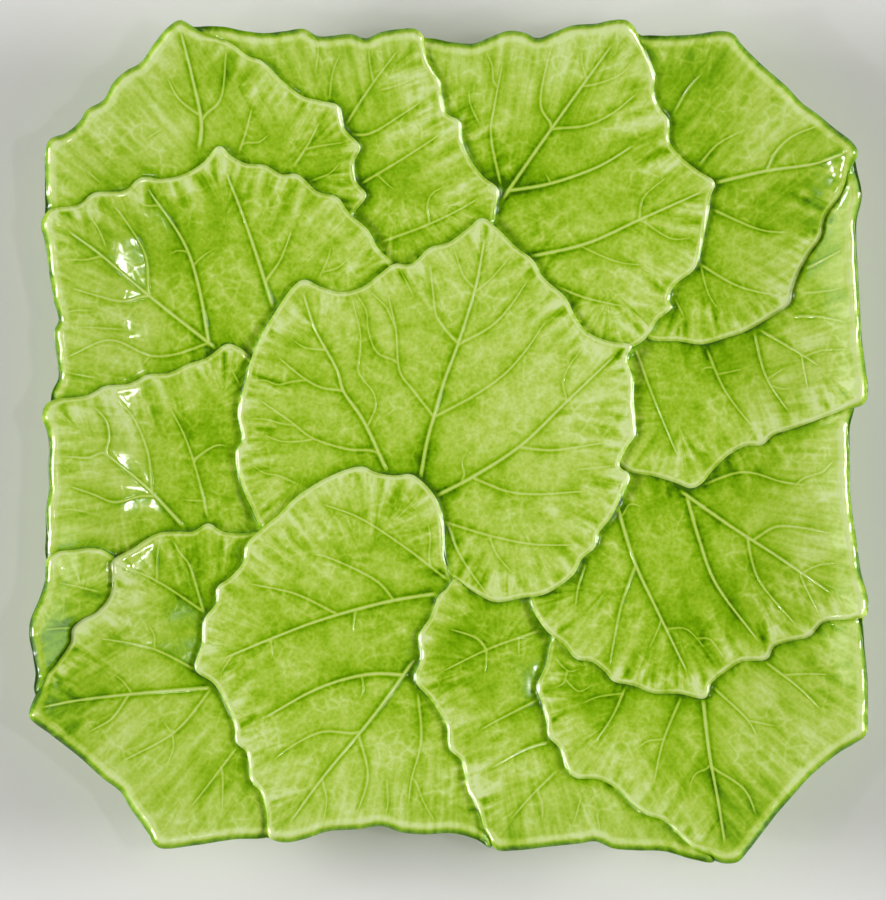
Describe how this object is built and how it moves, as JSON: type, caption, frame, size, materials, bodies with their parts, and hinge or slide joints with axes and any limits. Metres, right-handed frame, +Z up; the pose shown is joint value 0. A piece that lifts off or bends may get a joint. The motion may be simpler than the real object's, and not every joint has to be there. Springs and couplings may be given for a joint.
{
  "type": "salad plate",
  "caption": "Square salad plate with clipped corners and an upturned rim, covered in overlapping veined leaves in glossy green-glazed earthenware, on a low foot ring.",
  "frame": {"origin": "on the table, under the middle of the plate", "axes": "+Z up out of the plate's well, +Y to the plate's back edge, +X to its right edge"},
  "size_m": [0.209, 0.2104, 0.0266],
  "materials": {
    "green_glaze": "glossy translucent yellow-green glaze on earthenware, pale where it breaks over veins and edges, dark green where it pools",
    "bare_clay": "cream earthenware foot, wiped clean of glaze before firing"
  },
  "bodies": {
    "root": {"foot_ring": "bare_clay", "dish": "green_glaze", "centre_leaf": "green_glaze", "corner_leaf_back_left": "green_glaze", "back_left_leaf": "green_glaze", "left_rim_leaf_back": "green_glaze", "left_rim_leaf_middle": "green_glaze", "left_rim_leaf_front": "green_glaze", "corner_leaf_front_left": "green_glaze", "front_left_leaf": "green_glaze", "front_right_leaf": "green_glaze", "corner_leaf_front_right": "green_glaze", "right_rim_leaf_front": "green_glaze", "right_rim_leaf_back": "green_glaze", "corner_leaf_back_right": "green_glaze", "back_right_leaf": "green_glaze"}
  },
  "joints": []
}
